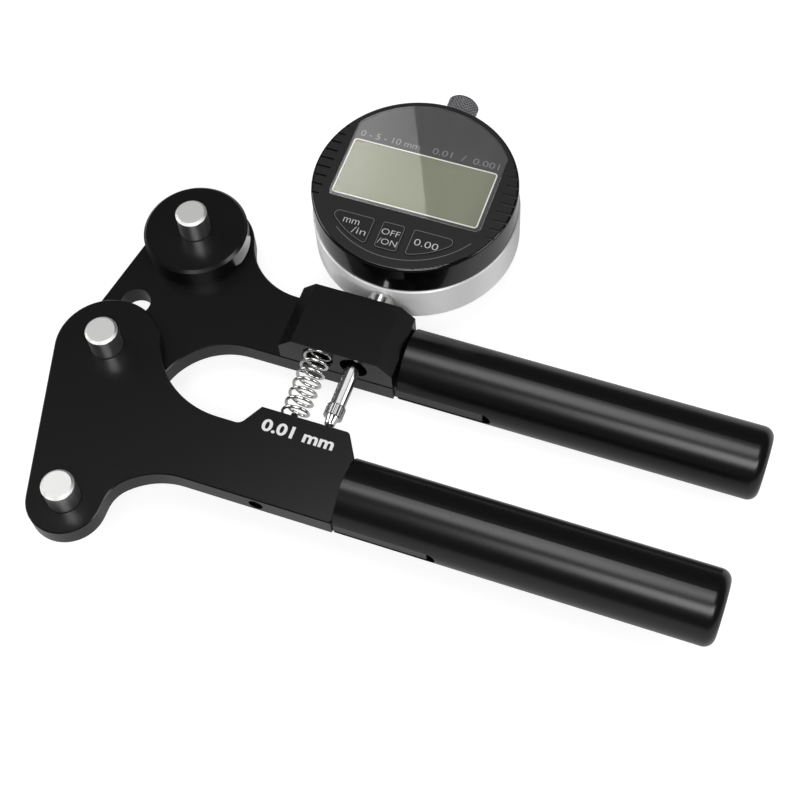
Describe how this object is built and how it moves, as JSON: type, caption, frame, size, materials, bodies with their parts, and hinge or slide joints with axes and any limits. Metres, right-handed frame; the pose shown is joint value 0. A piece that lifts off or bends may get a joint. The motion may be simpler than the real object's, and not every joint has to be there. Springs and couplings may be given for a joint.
{
  "type": "spoke tension meter",
  "caption": "Squeeze-handle gauge whose steel posts bend a bicycle spoke while a digital indicator reads how far the levers turn.",
  "frame": {"origin": "on the centre post's axis, half way up its free end, in the plane where the spoke lies", "axes": "+X along the handles, away from the posts; +Y from the front lever to the back lever; +Z out of the display, along the posts"},
  "size_m": [0.195, 0.1667, 0.0345],
  "materials": {
    "black_anodised": "black anodised flat stock with sharp machined edges, semi-gloss",
    "handle_black": "black anodised turned bar, smooth, semi-gloss",
    "post_steel": "turned and hardened steel, faced ends, bright chamfer",
    "screw_black": "black oxide alloy steel screws",
    "spring_wire": "bright drawn spring wire",
    "spindle_steel": "centreless ground stainless steel, bright",
    "case_metal": "machined case ring, satin",
    "stem_steel": "ground stainless steel stem",
    "housing_plastic": "moulded ABS, glossy side and satin face",
    "key_plastic": "moulded keys with a thin light outline, satin",
    "cap_plastic": "dark grey knurled lifting cap",
    "window_clear": "clear acrylic lens, polished",
    "display_grey": "liquid crystal panel, greenish grey",
    "board_green": "glass-epoxy circuit board",
    "bush_bronze": "sintered bronze bushes and washers",
    "cell_steel": "coin cell can",
    "cover_plastic": "moulded back cover and battery lid, fine spark texture"
  },
  "bodies": {
    "back_lever": {"back_lever_plate": "black_anodised", "spacer_disc": "black_anodised", "outer_post": "post_steel", "outer_post_screw": "screw_black", "back_handle": "handle_black", "back_handle_screws": "screw_black", "pivot_bush": "bush_bronze", "stop_pin": "spindle_steel", "gauge_block": "black_anodised", "gauge_block_screws": "screw_black", "stem_clamp_screw": "screw_black", "return_spring": "spring_wire", "gauge_case": "case_metal", "gauge_stem": "stem_steel", "stem_bushes": "bush_bronze", "upper_bush": "stem_steel", "guide_rod": "spindle_steel", "back_cover": "cover_plastic", "back_cover_screws": "screw_black", "battery": "cell_steel", "battery_lid": "cover_plastic", "circuit_board": "board_green", "reading_head": "board_green", "display_panel": "display_grey", "display_window": "window_clear", "front_housing": "housing_plastic", "spindle_spring": "spring_wire"},
    "front_lever": {"front_lever_plate": "black_anodised", "centre_post": "post_steel", "end_post": "post_steel", "end_post_screw": "screw_black", "front_handle": "handle_black", "front_handle_screws": "screw_black", "spring_seat_screw": "screw_black", "thrust_washer": "bush_bronze", "pivot_washer": "spindle_steel", "pivot_clip": "screw_black"},
    "spindle": {"spindle_rod": "spindle_steel", "contact_point": "spindle_steel", "lifting_cap": "cap_plastic", "scale_carriage": "case_metal"},
    "units_key": {"key_units": "key_plastic"},
    "power_key": {"key_power": "key_plastic"},
    "zero_key": {"key_zero": "key_plastic"}
  },
  "joints": [
    {"name": "lever_pivot", "type": "hinge", "parent": "back_lever", "child": "front_lever", "pos_m": [0, 0, 0], "axis": [0, 0, 1], "range_deg": [0, 8], "stiffness_Nm_per_rad": 5, "springref_deg": -5.16, "deforming": ["return_spring"]},
    {"name": "spindle_slide", "type": "slide", "parent": "back_lever", "child": "spindle", "axis": [0, 1, 0], "range_m": [0, 0.0105], "stiffness_N_per_m": 40, "springref_m": -0.012, "deforming": ["spindle_spring"]},
    {"name": "units_key_press", "type": "slide", "parent": "back_lever", "child": "units_key", "axis": [0, 0, -1], "range_m": [0, 0.0004], "stiffness_N_per_m": 700, "springref_m": -0.0006},
    {"name": "power_key_press", "type": "slide", "parent": "back_lever", "child": "power_key", "axis": [0, 0, -1], "range_m": [0, 0.0004], "stiffness_N_per_m": 700, "springref_m": -0.0006},
    {"name": "zero_key_press", "type": "slide", "parent": "back_lever", "child": "zero_key", "axis": [0, 0, -1], "range_m": [0, 0.0004], "stiffness_N_per_m": 700, "springref_m": -0.0006}
  ],
  "couplings": [
    {"joint": "spindle_slide", "follows": "lever_pivot", "m_per_rad": 0.06755}
  ]
}
